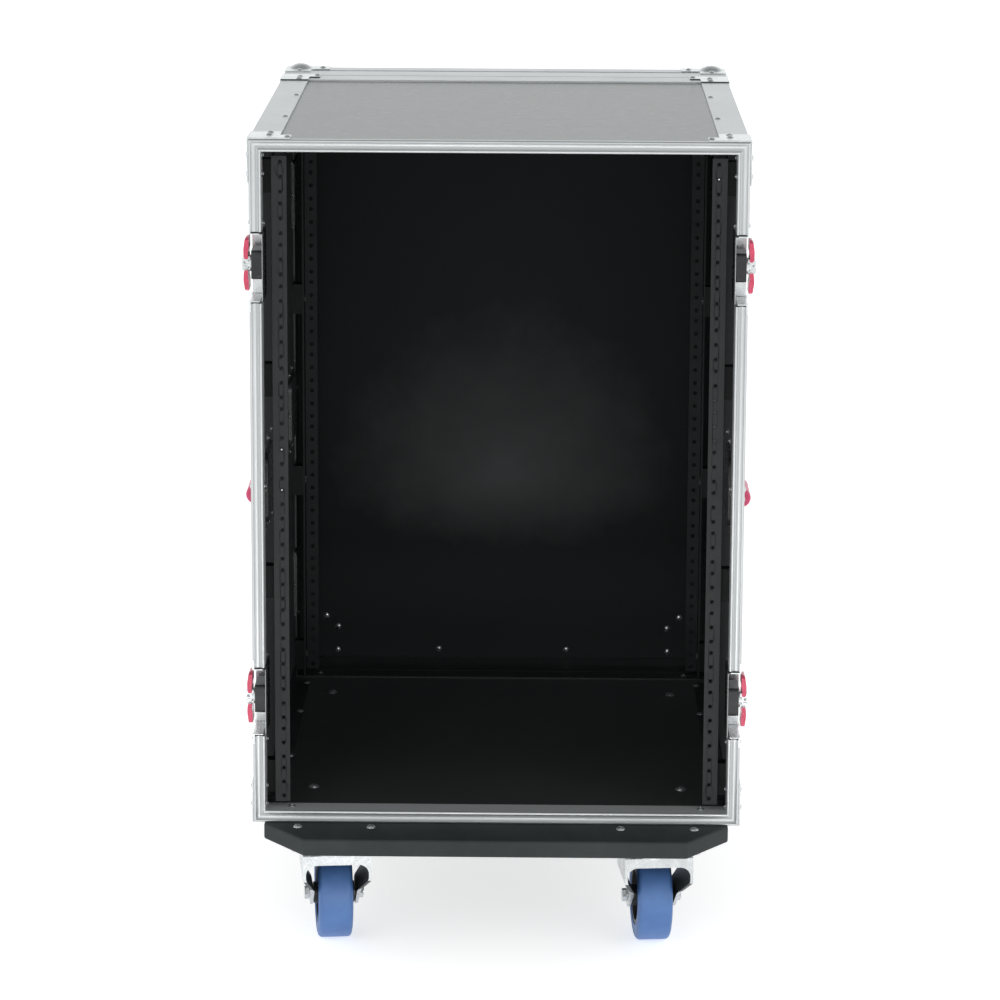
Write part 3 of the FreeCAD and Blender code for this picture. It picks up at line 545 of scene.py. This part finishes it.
def thread_rail_holes():
    """A thread in every rail hole, and the ends of the three screws that stand in them."""
    bore, crest, root = 0.00249, 0.0019, 0.0023
    front, back, turn = 0.00015, 0.00185, 0.0005
    profile = [(bore, front), (root, front)]
    for k in range(3):
        profile += [(crest, front + 0.00025 + k * turn), (root, front + (k + 1) * turn)]
    profile.append((bore, back))
    threads = Detail()
    for place in rail_holes():
        threads.revolve(profile, place, (0, 1, 0), 14, closed=True)
    threads.make("rail_hole_threads", "case", MATERIALS["black_rail_steel"], "black_rail_steel")
    ends = Detail()
    for side, height in ((-1, 0.5605), (-1, 0.5160), (1, 0.8555)):
        place = min((hole for hole in rail_holes() if hole.x * side > 0), key=lambda p: abs(p.z - height))
        ends.revolve([(0.0011, 0.0), (0.0011, 0.0014), (0.0008, 0.0018), (0.0003, 0.0020)],
                     place + Vector((0, 0.0016, 0)), (0, -1, 0), 16)
    ends.make("rail_screw_ends", "case", MATERIALS["bright_zinc_steel"], "bright_zinc_steel")


def dome_tops(node):
    """Top point and outward direction of every domed head of a node."""
    tops = []
    obj = NODES[node]
    for polygons in solids_of(obj):
        low, high = corners_of(obj, polygons)
        size = high - low
        k = min(range(3), key=lambda i: size[i])
        middle = (low + high) / 2
        edge = max((obj.data.vertices[v].co for p in polygons for v in p.vertices),
                   key=lambda c: sum((c[i] - middle[i]) ** 2 for i in range(3) if i != k))
        outward = Vector((0, 0, 0))
        outward[k] = 1.0 if edge[k] < middle[k] else -1.0
        top = middle.copy()
        top[k] = high[k] if outward[k] > 0 else low[k]
        tops.append((top, outward))
    return tops


def mark_rivets():
    """The broken stem in the middle of every blind rivet."""
    for node, body in (("rivets", "case"), ("lid_rivets", "rear_lid")):
        rims, stems = Detail(), Detail()
        for top, outward in dome_tops(node):
            start = top - outward * 0.0003
            rims.revolve([(0.0013, 0.0), (0.0012, 0.00042), (0.0009, 0.00042), (0.0008, 0.0)],
                         start, outward, 14, closed=True)
            stems.revolve([(0.00085, 0.0), (0.00085, 0.00034), (0.0003, 0.00036)], start, outward, 10)
        rims.make(node + "_rims", body, MATERIALS["bright_zinc_steel"], "bright_zinc_steel")
        # the stems wear the painted-shade zinc: painted shade of the rivet's hollow middle
        stems.make(node + "_stems", body, MATERIALS["shaded_zinc"], "bright_zinc_steel")


def cross_recesses():
    """Cross recesses on the rail screws."""
    # each cross is a thin dark plate on the zinc head: painted shade of the recess
    slots = Detail()
    for top, outward in dome_tops("rail_screws"):
        side = outward.orthogonal().normalized()
        other = outward.cross(side)
        for along, across in ((side, other), (other, side)):
            slots.bar(top - outward * 0.0001, along, across, outward, 0.0034, 0.0007, 0.0004)
    slots.make("screw_recesses", "case", MATERIALS["recess"], "bright_zinc_steel")


def ring_tyres():
    """A raised ring on both walls of each tyre, and a smaller one at the tread's shoulder."""
    height = 0.0006
    for place in ("front", "rear"):
        for side in ("left", "right"):
            body = place + "_" + side + "_caster_wheel"
            roll = joint_of(body)
            middle = Vector(roll["pos_m"])
            axle = Vector(roll["axis"]).normalized()
            node = NODES[place + "_" + side + "_caster_tyre"]
            half = max((v.co - middle).dot(axle) for v in node.data.vertices)
            rings = Detail()
            for sign in (-1, 1):
                start = middle + axle * sign * (half - 0.0002)
                for radius, width in ((0.0345, 0.0008), (0.0430, 0.0005)):
                    rings.revolve([(radius - width, 0.0), (radius - width / 2, height),
                                   (radius + width / 2, height), (radius + width, 0.0)],
                                  start, axle * sign, 64, closed=True)
            rings.make(place + "_" + side + "_tyre_rings", body, MATERIALS["blue_tread"], "blue_tread",
                       smooth=True)


thread_rail_holes()
mark_rivets()
cross_recesses()
ring_tyres()


# ------------------------------------------------------- floor, light, camera

def studio():
    """A pale floor, and a sky that is bright at eye level and dimmer overhead."""
    mat, tree, shader = new_tree("studio_floor")
    slow = noise(tree, coordinates(tree), 1.5, 3.0)
    colour = blend_colours(tree, slow, (0.86, 0.86, 0.86), (0.90, 0.90, 0.90))
    link(tree, colour, shader.inputs["Base Color"])
    shader.inputs["Roughness"].default_value = 0.8
    shader.inputs["Emission Color"].default_value = (1.0, 1.0, 1.0, 1.0)
    shader.inputs["Emission Strength"].default_value = 0.60
    mesh = bpy.data.meshes.new("floor")
    size = 14.0
    mesh.from_pydata([(-size, -size, 0), (size, -size, 0), (size, size, 0), (-size, size, 0)], [],
                     [(0, 1, 2, 3)])
    floor = bpy.data.objects.new("floor", mesh)
    bpy.context.scene.collection.objects.link(floor)
    floor.data.materials.append(mat)

    world = bpy.data.worlds.new("studio")
    bpy.context.scene.world = world
    world.use_nodes = True
    tree = world.node_tree
    back = tree.nodes["Background"]
    back.inputs["Color"].default_value = (0.975, 0.998, 1.0, 1.0)
    axes = add(tree, "SeparateXYZ")
    link(tree, add(tree, "TexCoord").outputs["Generated"], axes.inputs[0])
    link(tree, span(tree, axes.outputs[2], 0.35, 0.85, 1.22, 0.35), back.inputs["Strength"])


def area_light(name, place, target, size, power):
    """A soft rectangular lamp that lights the case and isn't seen itself."""
    data = bpy.data.lights.new(name, "AREA")
    data.shape = "RECTANGLE"
    data.size, data.size_y = size
    data.energy = power
    lamp = bpy.data.objects.new(name, data)
    bpy.context.scene.collection.objects.link(lamp)
    lamp.location = place
    lamp.visible_camera = False
    lamp.rotation_euler = (Vector(target) - Vector(place)).to_track_quat("-Z", "Y").to_euler()


def camera():
    """A long lens in front of the case and half a metre above its top."""
    pitch, yaw, roll = math.radians(12.49), math.radians(-0.59), math.radians(0.29)
    forward = Vector((math.sin(yaw) * math.cos(pitch), math.cos(yaw) * math.cos(pitch), -math.sin(pitch)))
    right = Vector((math.cos(yaw), -math.sin(yaw), 0.0))
    up = right.cross(forward)
    turned_right = right * math.cos(roll) + up * math.sin(roll)
    turned_up = up * math.cos(roll) - right * math.sin(roll)
    data = bpy.data.cameras.new("camera")
    data.sensor_width = 36.0
    data.lens = 144.7
    obj = bpy.data.objects.new("camera", data)
    bpy.context.scene.collection.objects.link(obj)
    turn = Matrix((turned_right, turned_up, -forward)).transposed().to_4x4()
    place = Vector((0.046, FRONT_Y - 4.212, BASE_Z + 1.296))
    obj.matrix_world = Matrix.Translation(place) @ turn
    bpy.context.scene.camera = obj


studio()
area_light("key", (-1.8, -3.4, 2.6), (0, 0, 0.5), (2.0, 2.0), 13)
area_light("fill", (2.4, -3.0, 1.8), (0, 0, 0.5), (2.0, 2.0), 9)
area_light("low", (0.0, FRONT_Y - 1.0, 0.06), (0, 0, 0.25), (0.5, 0.10), 1.2)
camera()
bpy.context.scene.view_settings.view_transform = "Standard"
